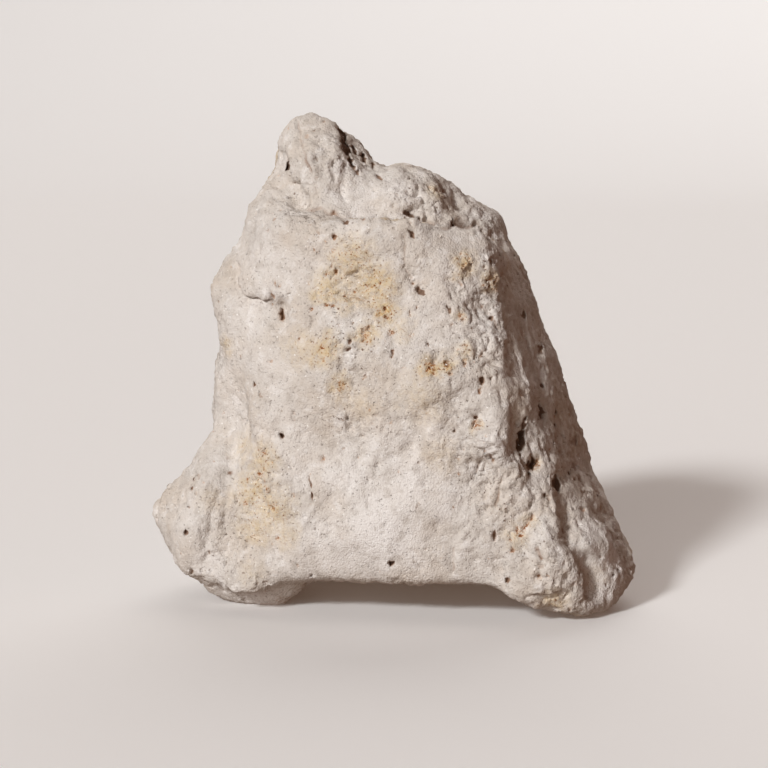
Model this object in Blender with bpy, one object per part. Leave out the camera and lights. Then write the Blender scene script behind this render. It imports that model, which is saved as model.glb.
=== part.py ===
"""Pumice stone: one hand-sized lump of pale volcanic froth, standing on three worn feet.

Metres, +Z up. The origin is on the ground under the middle of the stone. +X is to the right
of its broad front face, and +Y runs from that face to the back. The tables below are in
millimetres, as the stone would be measured, and MM turns them into metres.
"""
import math

import bmesh
import bpy
import numpy as np
from mathutils import Matrix, Vector, noise
from mathutils.bvhtree import BVHTree

MM = 0.001

# Grain that the form is worked at, and the flat facets that the finished solid keeps.
WORKING_VOXEL = 0.9
FACETS = 9300
SOFTENING_PASSES = 26

# The stone is fused from broken blocks. Each is the convex block through its corner points.
BODY = [
    (-20, -21, 5.8), (1, -25, 6.8), (21, -28, 6.6), (35, -18, 7), (37, 4, 5),
    (28, 20, 3), (6, 31, 2.5), (-18, 26, 2.5), (-30.5, 6, 4), (-30, -8, 6),
    (-29.3, -3, 35), (-25, -16, 37), (0, -26, 38), (17, -27.5, 38), (22.5, -24, 38), (33, -2, 34),
    (27, 15, 38), (5, 25, 38), (-20, 20, 38), (-28.5, 7, 38),
    (-32.6, -3, 56.5), (-20, -14.5, 68), (1, -18, 68), (16, -16, 66), (21, 0, 62.8),
    (18, 14, 60), (0, 19, 64), (-20, 13, 62), (-29.5, 7, 60),
]
CROWN = [
    (-26.8, -4, 69), (-25.2, 0, 73.8), (-3, -5, 76.4), (5, -5, 76.6), (-2, 5, 76), (5.4, 5, 75.4),
    (8.7, 3, 70.7), (19.8, 6.5, 67.7), (-20, -13.5, 66), (-4, -14, 67), (9, -12, 67), (17, -9, 64.5),
    (-30, 0, 60), (21.3, 3, 58), (-18, 13, 67), (3, 15, 70), (16, 14, 64), (-20, 13, 55), (16, 16, 55),
    (0, -12, 55),
]
KNOB = [
    (-21.3, 2, 81), (-18.8, 0, 85.5), (-14.7, 3, 86.9), (-8.5, 3, 83.6), (-2.2, 3, 76.8), (-22, 0, 75),
    (-15, -8, 77), (-6, -7, 76), (-14, -5.5, 83.5), (-19, 10, 80), (-7, 11, 79), (-14, 10, 85),
    (-21.3, 4, 66), (-3, 4, 66), (-13, -13, 66), (-12, 13, 66),
]
LEFT_LOBE = [
    (-44.4, -8, 14.7), (-43.7, -8, 17), (-34.6, -8, 27.2), (-28.9, -8, 30.6), (-38.6, -14, 6.6),
    (-34.5, -17.5, 3), (-34, -20, 14), (-33, -17, 24), (-20, -20.5, 4.2), (-20, -15, 32), (-29, -20.5, 2.2),
    (-37, 6, 8), (-39, 3, 16), (-30, 9, 4), (-28, 6, 28),
]
LEFT_FOOT = [
    (-27.5, -14, 1.2), (-25, -13, -1.3), (-20, -13, -1.3), (-18.5, -11, 1), (-20, -3, -1.3),
    (-27, -6, -1.3), (-34.5, -13, 1.8), (-30, 2, 2), (-14.5, -19, 5.3), (-31, -16, 8), (-16, 4, 6),
]
RIGHT_FOOT = [
    (43.3, -14, 7), (42.3, -16, 4.5), (34, -25.5, 0.6), (38.6, -18, 0.4), (25, -29, 4.8), (39.2, -4, 16.3),
    (34.9, 0, 29.3), (23.5, -21, 30), (26, -29.5, 11), (30.5, -28, 11), (41.5, -3, 6), (37, 8, 2),
    (30, -12, -1.3), (18, -16, 10), (18, -29, 4.4), (37, -10, -1.3), (20, -10, 30),
]
BACK_FOOT = [
    (-12, 25, -1.3), (14, 27, -1.3), (22, 16, -1.3), (-6, 14, -1.3), (-19, 23, 4), (27, 18, 5),
    (5, 32.5, 7), (-10, 8, 6), (18, 6, 6), (4, 29, 16),
]
GROUND_BLOCK = (120, 120, 20)

# Marks are placed on a side as it is looked at square on: u across, counted to the viewer's
# right from the stone's middle, and z above the ground. The angle is the viewer's place round
# the stone, from the front towards its right.
SIDES = {"front": 0, "right": 90, "back": 180, "left": 270}

# side, (u, z), reach, height: rounded swells, or broad hollows where the height is negative.
SWELLS = [
    ("front", (1, 61), 11, 0.9), ("front", (11, 57), 9, 0.9), ("front", (-22, 20), 8, 0.9),
    ("front", (8, 43), 9, 1.6), ("front", (-2, 17), 13, 1.0), ("front", (-38, 16), 8, 0.4),
    ("front", (18, 68), 6, 0.8), ("front", (3.5, 72.5), 7, 0.8), ("front", (35, 14), 8, 0.7),
    ("front", (24, 12), 7, 0.4), ("front", (-18, 80), 5, 0.5), ("front", (-7, 56.5), 6, -1.2),
    ("front", (-22, 19), 4, -0.6), ("front", (-8, 34), 6, -0.7), ("front", (-12, 44), 9, 0.8),
    ("front", (-27, 40), 9, -0.8), ("front", (15, 22), 9, -1.1), ("front", (-16, 72), 5, -1.0),
    ("right", (2, 50), 10, 0.6), ("right", (-4, 34), 9, -0.8), ("right", (10, 20), 11, 1.8),
    ("right", (-14, 14), 8, -1.0), ("right", (14, 44), 9, -1.3),
    ("back", (-12, 54), 12, 1.9), ("back", (9, 42), 14, -2.3), ("back", (-6, 28), 11, -1.4),
    ("back", (12, 20), 12, 1.9), ("back", (-20, 16), 10, 1.6), ("back", (2, 66), 8, -1.3),
    ("left", (3, 45), 10, -1.9), ("left", (-8, 44), 11, -1.9), ("left", (8, 52), 10, 1.2),
    ("left", (4, 20), 9, 1.3), ("left", (-16, 22), 9, -1.5), ("left", (-3, 68), 7, -1.0),
    ("front", (1.6, 77.3), 2.4, 1.2),
]

# side, path of (u, z), height, reach, lip: ledges. The surface stands proud on the left of the
# path as it is walked, by the height next to the path and less with distance. It rises over the
# lip, and the whole ledge dies away at both ends.
LEDGES = [
    ("front", [(22, 62), (14, 66.2), (6, 67.2), (-2, 67.4), (-9, 67.8), (-16, 65)], 1.6, 9, 1.2),
    ("front", [(-17.6, 48), (-19.4, 53), (-22.4, 54.2), (-26.4, 56), (-27, 60)], -1.5, 7, 1.0),
    ("front", [(20, 38), (11, 39), (5, 34), (0, 27), (-2, 20)], -1.3, 9, 6),
    ("front", [(6, 26), (16, 30), (24, 25)], 0.9, 7, 3),
    ("right", [(10, 50), (18, 58), (30, 50)], 2.2, 12, 4),
    ("right", [(-2, 22), (10, 32), (26, 28)], 1.9, 12, 4),
    ("back", [(24, 46), (10, 58), (-6, 50), (-24, 58)], 2.4, 14, 3),
    ("back", [(30, 30), (14, 24), (2, 30), (-10, 22), (-22, 28)], 2.2, 13, 5),
    ("left", [(-2, 52), (-12, 44), (-24, 50)], 2.2, 13, 4),
    ("left", [(12, 30), (0, 34), (-14, 24), (-24, 28)], 1.8, 11, 4),
]

# side, path of (u, z), half width, depth: valleys, tears and the inner corners of ledges.
GROOVES = [
    ("front", [(-27.5, 33), (-27.9, 23), (-28.7, 16), (-30.2, 9), (-32, 3)], 7.5, 2.4),
    ("front", [(-17.6, 72.7), (-15.6, 70)], 3.5, 1.2),
    ("front", [(-8, 68.6), (-2, 69), (3.3, 68.7), (9.3, 68), (15, 66.4), (20, 63)], 2.2, 1.3),
    ("front", [(9.6, 73), (11.3, 69.8), (14.9, 67)], 2.8, 1.9),
    ("front", [(-15.9, 85), (-15.3, 80), (-14, 75)], 1.8, 0.9),
    ("front", [(-8.3, 77.5), (-9.2, 71)], 2.0, 0.8), ("front", [(-1.4, 78), (-1, 74)], 1.6, 0.9),
    ("front", [(-19.2, 53.3), (-18.3, 49.6)], 1.4, 1.7),
    ("front", [(14.2, 53.9), (17.9, 49.7), (19.9, 46.4)], 2.2, 1.2),
    ("front", [(21.1, 34.6), (21, 30)], 1.6, 2.0),
    ("front", [(18.6, 45), (19.8, 40.5)], 2.2, 1.3),
    ("front", [(26, 37.5), (26.4, 33)], 2.2, 1.2),
    ("front", [(28.9, 33), (29.7, 25)], 2.6, 1.2),
    ("front", [(28.6, 23), (29.3, 18.9), (30, 14), (33, 10), (34.8, 5)], 2.8, 2.0),
    ("front", [(-14.8, 24), (-13.9, 20)], 1.5, 1.0),
    ("front", [(2, 65), (3.4, 57)], 1.6, 0.6),
    ("front", [(9, 17), (10, 9)], 2.0, 0.6),
    ("right", [(12, 60), (16, 47), (12, 36)], 5.0, 1.6),
    ("right", [(4, 20), (12, 10), (16, 2)], 5.5, 1.8),
    ("back", [(18, 50), (14, 40), (17, 30), (14, 20)], 7.0, 2.2),
    ("back", [(-20, 40), (-16, 26), (-20, 12)], 6.5, 2.0),
    ("left", [(-14, 40), (-10, 30), (-16, 14)], 6.0, 2.0),
]

# side, (u, z), radius, depth: the larger burst bubbles that have kept a clear rim.
PITS = [
    ("front", (3.3, 68.6), 1.9, 1.9), ("front", (9.3, 67.7), 1.5, 1.6), ("front", (3.9, 57.2), 1.1, 1.1),
    ("front", (5.4, 56.4), 1.3, 1.5), ("front", (-0.8, 51.7), 1.9, 0.9), ("front", (-4.2, 48.8), 1.7, 0.7),
    ("front", (7.3, 44.6), 1.7, 0.8), ("front", (13.8, 34.8), 1.4, 1.2), ("front", (23.8, 26.9), 2.0, 1.5),
    ("front", (-7.6, 47), 1.1, 0.9), ("front", (-8, 81), 1.7, 1.5), ("front", (-6.4, 78.4), 1.2, 1.1),
    ("front", (-4.3, 76), 1.0, 0.8), ("front", (-8.3, 67.9), 1.3, 1.2),
]

# Burst bubbles spread over the whole surface, drawn from a seeded run.
BUBBLES = 110
BUBBLE_SEED = 31
BUBBLE_RADIUS = (0.8, 1.7)
BUBBLE_DEPTH = 0.55
BUBBLE_DRAWN_OUT = 0.4

# Weathering: wavelength and height of each size of lump. The front and the sides are worn
# smoother than the back, and the undersides smoother still, each to its share. A share grows
# to the whole as the surface turns to the back or out from below, the faster the sharper.
LUMPS = [(27.0, 3.6), (13.0, 2.2), (6.5, 1.3), (3.6, 0.5)]
WORN_FRONT = 0.45
BACK_FROM = 0.1
BACK_SHARPNESS = 2.0
WORN_UNDERSIDE = 0.2
UNDERSIDE_SHARPNESS = 1.3

# The froth was drawn out along PULL, which leaves flutes. They are faint, except near the
# middle of each fluted zone: (x, y, z), reach.
PULL = Vector((0.22, -0.1, -1.0)).normalized()
FLUTE_WAVE = 3.4
FLUTE_STRETCH = 4.0
FLUTE_FAINT = 0.25
FLUTE_STRONG = 0.85
FLUTED_ZONES = [
    ((-12, -6, 79), 16), ((26, -20, 36), 24), ((33, -20, 12), 18), ((-8, 24, 40), 26), ((-30, 6, 40), 18),
]

# Every mark's edge wanders by this much, over this wavelength.
WANDER = 1.0
WANDER_WAVE = 4.5
WANDER_SHIFTS = (Vector((0, 0, 0)), Vector((31, 17, 5)), Vector((7, 43, 29)))


def convex_block(name, corners):
    """The convex block through its corner points."""
    bm = bmesh.new()
    for corner in corners:
        bm.verts.new(Vector(corner) * MM)
    bmesh.ops.convex_hull(bm, input=bm.verts)
    bmesh.ops.delete(bm, geom=[v for v in bm.verts if not v.link_faces], context="VERTS")
    bmesh.ops.recalc_face_normals(bm, faces=bm.faces)
    mesh = bpy.data.meshes.new(name)
    bm.to_mesh(mesh)
    bm.free()
    piece = bpy.data.objects.new(name, mesh)
    bpy.context.scene.collection.objects.link(piece)
    return piece


def make_permanent(piece):
    """Turns the piece's modifiers into its mesh."""
    graph = bpy.context.evaluated_depsgraph_get()
    mesh = bpy.data.meshes.new_from_object(piece.evaluated_get(graph))
    piece.modifiers.clear()
    piece.data = mesh


def fuse_blocks():
    """One closed form of all the blocks, with its edges worn round."""
    stone = convex_block("pumice_stone", BODY)
    others = [
        convex_block("block", corners)
        for corners in (CROWN, KNOB, LEFT_LOBE, LEFT_FOOT, RIGHT_FOOT, BACK_FOOT)
    ]
    for other in others:
        union = stone.modifiers.new("fuse", "BOOLEAN")
        union.operation = "UNION"
        union.object = other
    grain = stone.modifiers.new("grain", "REMESH")
    grain.mode = "VOXEL"
    grain.voxel_size = WORKING_VOXEL * MM
    wear = stone.modifiers.new("wear", "SMOOTH")
    wear.factor = 0.5
    wear.iterations = SOFTENING_PASSES
    make_permanent(stone)
    for other in others:
        bpy.data.objects.remove(other)
    return stone


class Surface:
    """The stone's points in millimetres, which the marks move.

    Marks are measured at the marked points, which wander a little from the true ones.
    """

    def __init__(self, piece):
        self.mesh = piece.data
        self.faces = np.array([tuple(face.vertices) for face in self.mesh.polygons])
        self.read()

    def read(self):
        count = len(self.mesh.vertices)
        flat = np.empty(count * 3, np.float32)
        self.mesh.vertices.foreach_get("co", flat)
        self.points = flat.reshape(count, 3).astype(float) / MM
        self.normals = outward_at(self.points, self.faces)
        places = [Vector(p) for p in self.points]
        self.tree = BVHTree.FromPolygons(places, self.faces.tolist())
        wander = [[noise.noise(p / WANDER_WAVE + shift) for shift in WANDER_SHIFTS] for p in places]
        self.marked = self.points + WANDER * np.array(wander)

    def write(self):
        flat = (self.points * MM).astype(np.float32).ravel()
        self.mesh.vertices.foreach_set("co", flat)
        self.mesh.update()
        self.read()

    def touch(self, side, place):
        """The point that a viewer of that side sees at (u, z)."""
        across, outward = facing(side)
        start = across * place[0] + outward * 200 + Vector((0, 0, place[1]))
        hit = self.tree.ray_cast(start, -outward)[0]
        if hit is None:
            hit = self.tree.find_nearest(start - outward * 200)[0]
        return np.array(hit)

    def nearest(self, centre):
        return int(np.argmin(((self.points - centre) ** 2).sum(1)))

    def push(self, share, height):
        """Moves each point out along its own normal, by its share of the height."""
        self.points += self.normals * (share * height)[:, None]


def outward_at(points, quads):
    """The outward direction at each point, from the four-sided faces round it."""
    corners = points[quads]
    faces_out = np.cross(corners[:, 2] - corners[:, 0], corners[:, 3] - corners[:, 1])
    outward = np.zeros_like(points)
    for corner in range(4):
        np.add.at(outward, quads[:, corner], faces_out)
    return outward / np.linalg.norm(outward, axis=1)[:, None]


def facing(side):
    """The directions across a side, to its viewer's right, and out of it."""
    angle = math.radians(SIDES[side])
    across = Vector((math.cos(angle), math.sin(angle), 0))
    outward = Vector((math.sin(angle), -math.cos(angle), 0))
    return across, outward


def soft_edge(distance, reach):
    """1 in the middle of a mark, easing to 0 at its reach."""
    return np.clip(1 - (distance / reach) ** 2, 0, 1) ** 2


def pit_shape(distance, radius):
    """A bowl with a flat middle and a steep wall, 1 to 0."""
    return np.clip(1 - (distance / radius) ** 3, 0, 1)


def distance_to_path(points, path):
    """How far each point is from the line through the path's points."""
    nearest = np.full(len(points), np.inf)
    for a, b in zip(path[:-1], path[1:]):
        run = b - a
        along = np.clip((points - a) @ run / (run @ run), 0, 1)
        gap = np.linalg.norm(points - a - along[:, None] * run, axis=1)
        nearest = np.minimum(nearest, gap)
    return nearest


def beside_path(points, path):
    """Each point's distance from a path in a plane, positive on its left, and its share along."""
    steps = [b - a for a, b in zip(path[:-1], path[1:])]
    lengths = [np.linalg.norm(step) for step in steps]
    nearest = np.full(len(points), np.inf)
    signed = np.zeros(len(points))
    share = np.zeros(len(points))
    walked = 0.0
    for a, step, length in zip(path, steps, lengths):
        along = np.clip((points - a) @ step / length**2, 0, 1)
        away = points - a - along[:, None] * step
        gap = np.linalg.norm(away, axis=1)
        left = np.sign(step[0] * (points[:, 1] - a[1]) - step[1] * (points[:, 0] - a[0]))
        closer = gap < nearest
        signed = np.where(closer, gap * left, signed)
        share = np.where(closer, (walked + along * length) / sum(lengths), share)
        nearest = np.minimum(nearest, gap)
        walked += length
    return signed, share


def add_swells(surface):
    for side, place, reach, height in SWELLS:
        centre = surface.touch(side, place)
        distance = np.linalg.norm(surface.marked - centre, axis=1)
        surface.push(soft_edge(distance, reach), height)
    surface.write()


def break_ledges(surface):
    for side, path, height, reach, lip in LEDGES:
        across, outward = facing(side)
        seen = np.stack([surface.marked @ np.array(across), surface.marked[:, 2]], axis=1)
        signed, share = beside_path(seen, [np.array(place, float) for place in path])
        facing_viewer = np.clip(surface.normals @ np.array(outward) * 2, 0, 1)
        rise = np.clip(0.5 + signed / lip, 0, 1) * soft_edge(signed, reach)
        surface.push(rise * facing_viewer * np.sin(math.pi * share) ** 0.5, height)
    surface.write()


def weather(surface):
    """Lumps of several sizes, and flutes along the pull of the froth."""
    places = [Vector(p) for p in surface.points]
    height = np.zeros(len(places))
    for step, (wave, size) in enumerate(LUMPS):
        offset = Vector((11.3, 7.1, 3.7)) * (step + 1)
        height += size * np.array([noise.noise(p / wave + offset) for p in places])
    flutes = np.array([flute(p) for p in places])
    back = np.clip((surface.normals[:, 1] - BACK_FROM) * BACK_SHARPNESS, 0, 1)
    upward = np.clip((1 + surface.normals[:, 2]) * UNDERSIDE_SHARPNESS, WORN_UNDERSIDE, 1)
    share = (WORN_FRONT + (1 - WORN_FRONT) * back) * upward
    surface.push(height * share + flutes, 1.0)
    surface.write()


def flute(place):
    """Ridges and furrows drawn out along the pull."""
    along = place.dot(PULL)
    drawn = place - PULL * (along * (1 - 1 / FLUTE_STRETCH))
    nearness = max(1 - (place - Vector(middle)).length / reach for middle, reach in FLUTED_ZONES)
    height = FLUTE_FAINT + (FLUTE_STRONG - FLUTE_FAINT) * max(nearness, 0) ** 0.5
    return height * noise.noise(drawn / FLUTE_WAVE)


def cut_grooves(surface):
    for side, path, half_width, depth in GROOVES:
        line = [surface.touch(side, place) for place in path]
        distance = distance_to_path(surface.marked, line)
        surface.push(soft_edge(distance, half_width), -depth)
    surface.write()


def open_bubbles(surface):
    """The larger pits by hand, then the scattered ones."""
    for side, place, radius, depth in PITS:
        open_pit(surface, surface.touch(side, place), radius, depth)
    draw = np.random.default_rng(BUBBLE_SEED)
    for _ in range(BUBBLES):
        centre = surface.points[draw.integers(len(surface.points))]
        radius = draw.uniform(*BUBBLE_RADIUS)
        open_pit(surface, centre, radius, radius * BUBBLE_DEPTH)
    surface.write()


def open_pit(surface, centre, radius, depth):
    """Sinks a bowl along the surface's normal at its middle, a little drawn out along the pull."""
    away = surface.marked - centre
    pull = np.array(PULL)
    along = away @ pull
    distance = np.sqrt(np.maximum((away**2).sum(1) - BUBBLE_DRAWN_OUT * along**2, 0))
    inward = -surface.normals[surface.nearest(centre)]
    surface.points += inward * (pit_shape(distance, radius) * depth)[:, None]


def thin_to_facets(stone):
    """Keeps about FACETS flat triangles, most of them where the form turns sharply."""
    triangles = 2 * len(stone.data.polygons)
    thin = stone.modifiers.new("facets", "DECIMATE")
    thin.ratio = FACETS / triangles
    make_permanent(stone)


def wear_feet_flat(stone):
    """Takes off what reaches below the ground, which leaves a flat worn patch on each foot."""
    bm = bmesh.new()
    bmesh.ops.create_cube(bm, size=1)
    bmesh.ops.scale(bm, vec=Vector(GROUND_BLOCK) * MM, verts=bm.verts)
    bmesh.ops.translate(bm, vec=Vector((0, 0, -GROUND_BLOCK[2] / 2)) * MM, verts=bm.verts)
    mesh = bpy.data.meshes.new("ground")
    bm.to_mesh(mesh)
    bm.free()
    ground = bpy.data.objects.new("ground", mesh)
    bpy.context.scene.collection.objects.link(ground)
    cut = stone.modifiers.new("flat feet", "BOOLEAN")
    cut.operation = "DIFFERENCE"
    cut.object = ground
    make_permanent(stone)
    bpy.data.objects.remove(ground)


def stand_on_origin(stone):
    """Puts the middle of the footprint's box at x = 0 and y = 0."""
    places = [corner.co for corner in stone.data.vertices]
    middle = [(min(p[axis] for p in places) + max(p[axis] for p in places)) / 2 for axis in (0, 1)]
    stone.data.transform(Matrix.Translation((-middle[0], -middle[1], 0)))


def pumice_finish():
    """Dry, chalky pumice: pale warm grey, fully matt."""
    material = bpy.data.materials.new("pumice")
    material.use_nodes = True
    shader = material.node_tree.nodes["Principled BSDF"]
    shader.inputs["Base Color"].default_value = (0.66, 0.60, 0.53, 1)
    shader.inputs["Roughness"].default_value = 0.95
    shader.inputs["Metallic"].default_value = 0.0
    return material


def build_stone():
    stone = fuse_blocks()
    surface = Surface(stone)
    add_swells(surface)
    break_ledges(surface)
    cut_grooves(surface)
    weather(surface)
    open_bubbles(surface)
    thin_to_facets(stone)
    wear_feet_flat(stone)
    stand_on_origin(stone)
    stone.data.materials.clear()
    stone.data.materials.append(pumice_finish())
    stone.data.name = stone.name
    return stone


for old in list(bpy.data.objects):
    bpy.data.objects.remove(old)
build_stone()
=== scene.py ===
import math

import bmesh
import bpy
import numpy as np
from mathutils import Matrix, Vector, kdtree
from mathutils.bvhtree import BVHTree


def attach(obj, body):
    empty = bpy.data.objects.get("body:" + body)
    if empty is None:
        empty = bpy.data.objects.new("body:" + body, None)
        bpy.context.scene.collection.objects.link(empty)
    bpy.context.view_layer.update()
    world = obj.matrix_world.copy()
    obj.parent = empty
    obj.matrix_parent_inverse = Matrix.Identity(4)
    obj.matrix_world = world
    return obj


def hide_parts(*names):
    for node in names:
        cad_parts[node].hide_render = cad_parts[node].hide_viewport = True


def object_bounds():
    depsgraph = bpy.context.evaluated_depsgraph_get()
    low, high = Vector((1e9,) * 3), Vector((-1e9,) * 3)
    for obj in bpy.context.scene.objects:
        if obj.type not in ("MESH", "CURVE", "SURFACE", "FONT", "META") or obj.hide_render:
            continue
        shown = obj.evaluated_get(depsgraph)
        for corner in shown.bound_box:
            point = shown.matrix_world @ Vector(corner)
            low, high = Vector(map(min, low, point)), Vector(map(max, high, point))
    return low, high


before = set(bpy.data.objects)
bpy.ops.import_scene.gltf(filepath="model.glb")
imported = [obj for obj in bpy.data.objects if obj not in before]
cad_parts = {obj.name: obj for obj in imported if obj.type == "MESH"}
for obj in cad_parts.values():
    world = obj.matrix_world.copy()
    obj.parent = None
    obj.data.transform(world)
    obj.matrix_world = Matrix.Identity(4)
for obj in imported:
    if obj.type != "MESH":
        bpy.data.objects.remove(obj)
CAD_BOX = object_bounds()
MM = 0.001


# ---------------------------------------------------------------------------------------------
# The view. A long lens looks at the stone's broad face from a little above. The marks on that
# face are placed through the picture that it gives, so it comes first. Lengths are in mm.
# ---------------------------------------------------------------------------------------------
LENS = 85.0
SENSOR = 36.0
PICTURE = 768
LOOK_DOWN = math.radians(8)
LOOK_AT = Vector((-1.46, -0.92, 37.34))
DISTANCE = 327.8
CLIP_START = 10.0

ahead = Vector((0, math.cos(LOOK_DOWN), -math.sin(LOOK_DOWN)))
upward = Vector((0, math.sin(LOOK_DOWN), math.cos(LOOK_DOWN)))
rightward = Vector((1, 0, 0))
eye = LOOK_AT - ahead * DISTANCE
PICTURE_FOCUS = LENS / SENSOR * PICTURE

lens = bpy.data.cameras.new("camera")
lens.lens = LENS
lens.sensor_width = SENSOR
lens.clip_start = CLIP_START * MM
camera = bpy.data.objects.new("camera", lens)
camera.location = eye * MM
camera.rotation_euler = (math.pi / 2 - LOOK_DOWN, 0, 0)
bpy.context.scene.collection.objects.link(camera)
bpy.context.scene.camera = camera


# ---------------------------------------------------------------------------------------------
# The stone: one lump of pumice, a volcanic froth that set as glass. Its rough form is the CAD
# solid's; here the flat facets are worn away and the mesh is made fine enough for its pores.
# ---------------------------------------------------------------------------------------------
# How near two corners of the solid are when they are one, the even mesh's spacing (both mm), the
# rounds that wear its facets, the times its faces are then quartered, and the triangles that
# the finished skin is thinned to.
TOUCHING = 0.001
ROUGH_GRAIN = 1.0
FACET_WEAR = 5
FINER_STEPS = 2
TRIANGLES = 196000

merged = bmesh.new()
merged.from_mesh(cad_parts["pumice_stone"].data)
bmesh.ops.remove_doubles(merged, verts=merged.verts, dist=TOUCHING * MM)
form = bpy.data.meshes.new("pumice_lump")
merged.to_mesh(form)
merged.free()
stone = bpy.data.objects.new("pumice_lump", form)
bpy.context.scene.collection.objects.link(stone)


def make_permanent(piece):
    """Turns the piece's modifiers into its mesh."""
    graph = bpy.context.evaluated_depsgraph_get()
    mesh = bpy.data.meshes.new_from_object(piece.evaluated_get(graph))
    piece.modifiers.clear()
    piece.data = mesh


remesh = stone.modifiers.new("even grain", "REMESH")
remesh.mode = "VOXEL"
remesh.voxel_size = ROUGH_GRAIN * MM
wear = stone.modifiers.new("worn facets", "SMOOTH")
wear.iterations = FACET_WEAR
finer = stone.modifiers.new("fine grain", "SUBSURF")
finer.levels = finer.render_levels = FINER_STEPS
make_permanent(stone)


def vertex_places(mesh):
    """The mesh's vertices in millimetres."""
    flat = np.empty(len(mesh.vertices) * 3, np.float32)
    mesh.vertices.foreach_get("co", flat)
    return flat.reshape(-1, 3).astype(float) / MM


def outward_at(points, quads):
    """The outward direction at each point, from the four-sided faces round it."""
    corners = points[quads]
    faces_out = np.cross(corners[:, 2] - corners[:, 0], corners[:, 3] - corners[:, 1])
    outward = np.zeros_like(points)
    for corner in range(4):
        for axis in range(3):
            outward[:, axis] += np.bincount(quads[:, corner], faces_out[:, axis], len(points))
    return outward / np.linalg.norm(outward, axis=1)[:, None]


quads = np.empty(len(stone.data.polygons) * 4, np.int32)
stone.data.polygons.foreach_get("vertices", quads)
quads = quads.reshape(-1, 4)
base = vertex_places(stone.data)
outward = outward_at(base, quads)
base_tree = BVHTree.FromPolygons([Vector(p) for p in base], quads.tolist())
near = kdtree.KDTree(len(base))
for index, point in enumerate(base):
    near.insert(point, index)
near.balance()

# Where each point shows in the picture, in pixels, and how far it faces the lens: 0 for edge
# on or turned away, and 1 once it is turned well towards the lens.
FULL_TURN = 4
offset = base - np.array(eye)
depth_in = offset @ np.array(ahead)
pictured = np.stack([
    PICTURE / 2 + PICTURE_FOCUS * (offset @ np.array(rightward)) / depth_in,
    PICTURE / 2 - PICTURE_FOCUS * (offset @ np.array(upward)) / depth_in,
], axis=1)
PIXEL = DISTANCE / PICTURE_FOCUS
towards = -(outward * offset).sum(1) / np.linalg.norm(offset, axis=1)
faces_lens = np.clip(towards * FULL_TURN, 0, 1)


def seen_at(x, y):
    """The point of the stone that shows at this place in the picture."""
    across = rightward * (x - PICTURE / 2) + upward * (PICTURE / 2 - y)
    ray = (ahead * PICTURE_FOCUS + across).normalized()
    hit = base_tree.ray_cast(eye, ray)[0]
    if hit is None:
        hit = base_tree.find_nearest(eye + ray * DISTANCE)[0]
    return hit


def away_from(x, y, stirred=0.0):
    """Each point's distance in mm from what shows at x, y, with its places stirred a little."""
    return np.linalg.norm(base - np.array(seen_at(x, y)) + stirred, axis=1)


# ---------------------------------------------------------------------------------------------
# Weathering. The glass froth rubs away to a chalky skin of low lumps; where it was drawn out
# before it set, it wears into flutes. Both are cut by lattice noise in real millimetres.
# ---------------------------------------------------------------------------------------------
NOISE_SEED = 7
LATTICE = 256
FULL_SWING = 1.6
draw = np.random.default_rng(NOISE_SEED)
SHUFFLE = np.concatenate([draw.permutation(LATTICE)] * 2)
SLOPES = draw.normal(size=(LATTICE, 3))
SLOPES /= np.linalg.norm(SLOPES, axis=1)[:, None]


def ripple(points, wave, shift):
    """Smooth noise from about -1 to 1. Each kind of mark has its own shift, so no two agree."""
    place = points / wave + shift
    cell = np.floor(place).astype(np.int64)
    part = place - cell
    ease = part**3 * (part * (part * 6 - 15) + 10)
    total = np.zeros(len(points))
    for corner in np.ndindex(2, 2, 2):
        x, y, z = ((cell + corner) % LATTICE).T
        slope = SLOPES[SHUFFLE[SHUFFLE[SHUFFLE[x] + y] + z]]
        share = np.prod(np.where(corner, ease, 1 - ease), axis=1)
        total += share * ((part - corner) * slope).sum(1)
    return total * FULL_SWING


def ripples(wave, *shifts):
    """One column of noise over the stone for each shift."""
    return np.stack([ripple(base, wave, shift) for shift in shifts], axis=1)


def soft_edge(distance, reach):
    """1 in the middle of a mark, easing to 0 at its reach."""
    return np.clip(1 - (distance / reach) ** 2, 0, 1) ** 2


def smooth_step(values, low, high):
    """0 below low, 1 above high, and an easy slope between them."""
    part = np.clip((values - low) / (high - low), 0, 1)
    return part * part * (3 - 2 * part)


# How rough the skin is, from 0 to 1: it changes slowly over the stone, and the sides that lie
# turned away are rougher.
ROUGH_WAVE = 12.0
MEAN_ROUGH = 0.45
ROUGH_SWING = 0.55
ROUGHER_BEHIND = 0.25
LEAST_ROUGH = 0.08

# Rough and smooth patches of the broad face: picture place, reach in mm, roughness added.
PATCHES = [
    (478, 285, 7, 0.9), (490, 350, 8, 0.9), (480, 440, 7, 0.8), (505, 500, 9, 0.9), (520, 560, 8, 0.6),
    (415, 262, 4, 0.8), (350, 290, 8, 0.6), (345, 350, 7, 0.4), (440, 365, 5, 0.9), (325, 160, 6, 0.6),
    (300, 185, 5, 0.5), (330, 225, 7, 0.3), (260, 480, 8, 0.3), (560, 520, 8, 0.6), (604, 560, 8, -0.5),
    (345, 420, 4, 0.6), (470, 220, 8, 0.6), (425, 205, 6, 0.4), (370, 540, 11, -0.7), (300, 560, 9, -0.5),
    (410, 480, 7, -0.4), (240, 340, 9, -0.4), (300, 400, 8, -0.3), (190, 520, 9, -0.3),
    (285, 240, 7, -0.3), (440, 520, 8, -0.2),
]
rough = MEAN_ROUGH + ROUGH_SWING * ripple(base, ROUGH_WAVE, 5.1) + ROUGHER_BEHIND * (1 - faces_lens)
for x, y, reach, added in PATCHES:
    rough += added * soft_edge(away_from(x, y), reach)
rough = np.clip(rough, LEAST_ROUGH, 1)

# Everything is cut from places that wander a little, so that nothing is ruled or round.
WANDER_WAVE = 3.4
WANDER = 0.7
wandered = base + WANDER * ripples(WANDER_WAVE, 61.0, 73.0, 87.0)

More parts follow.
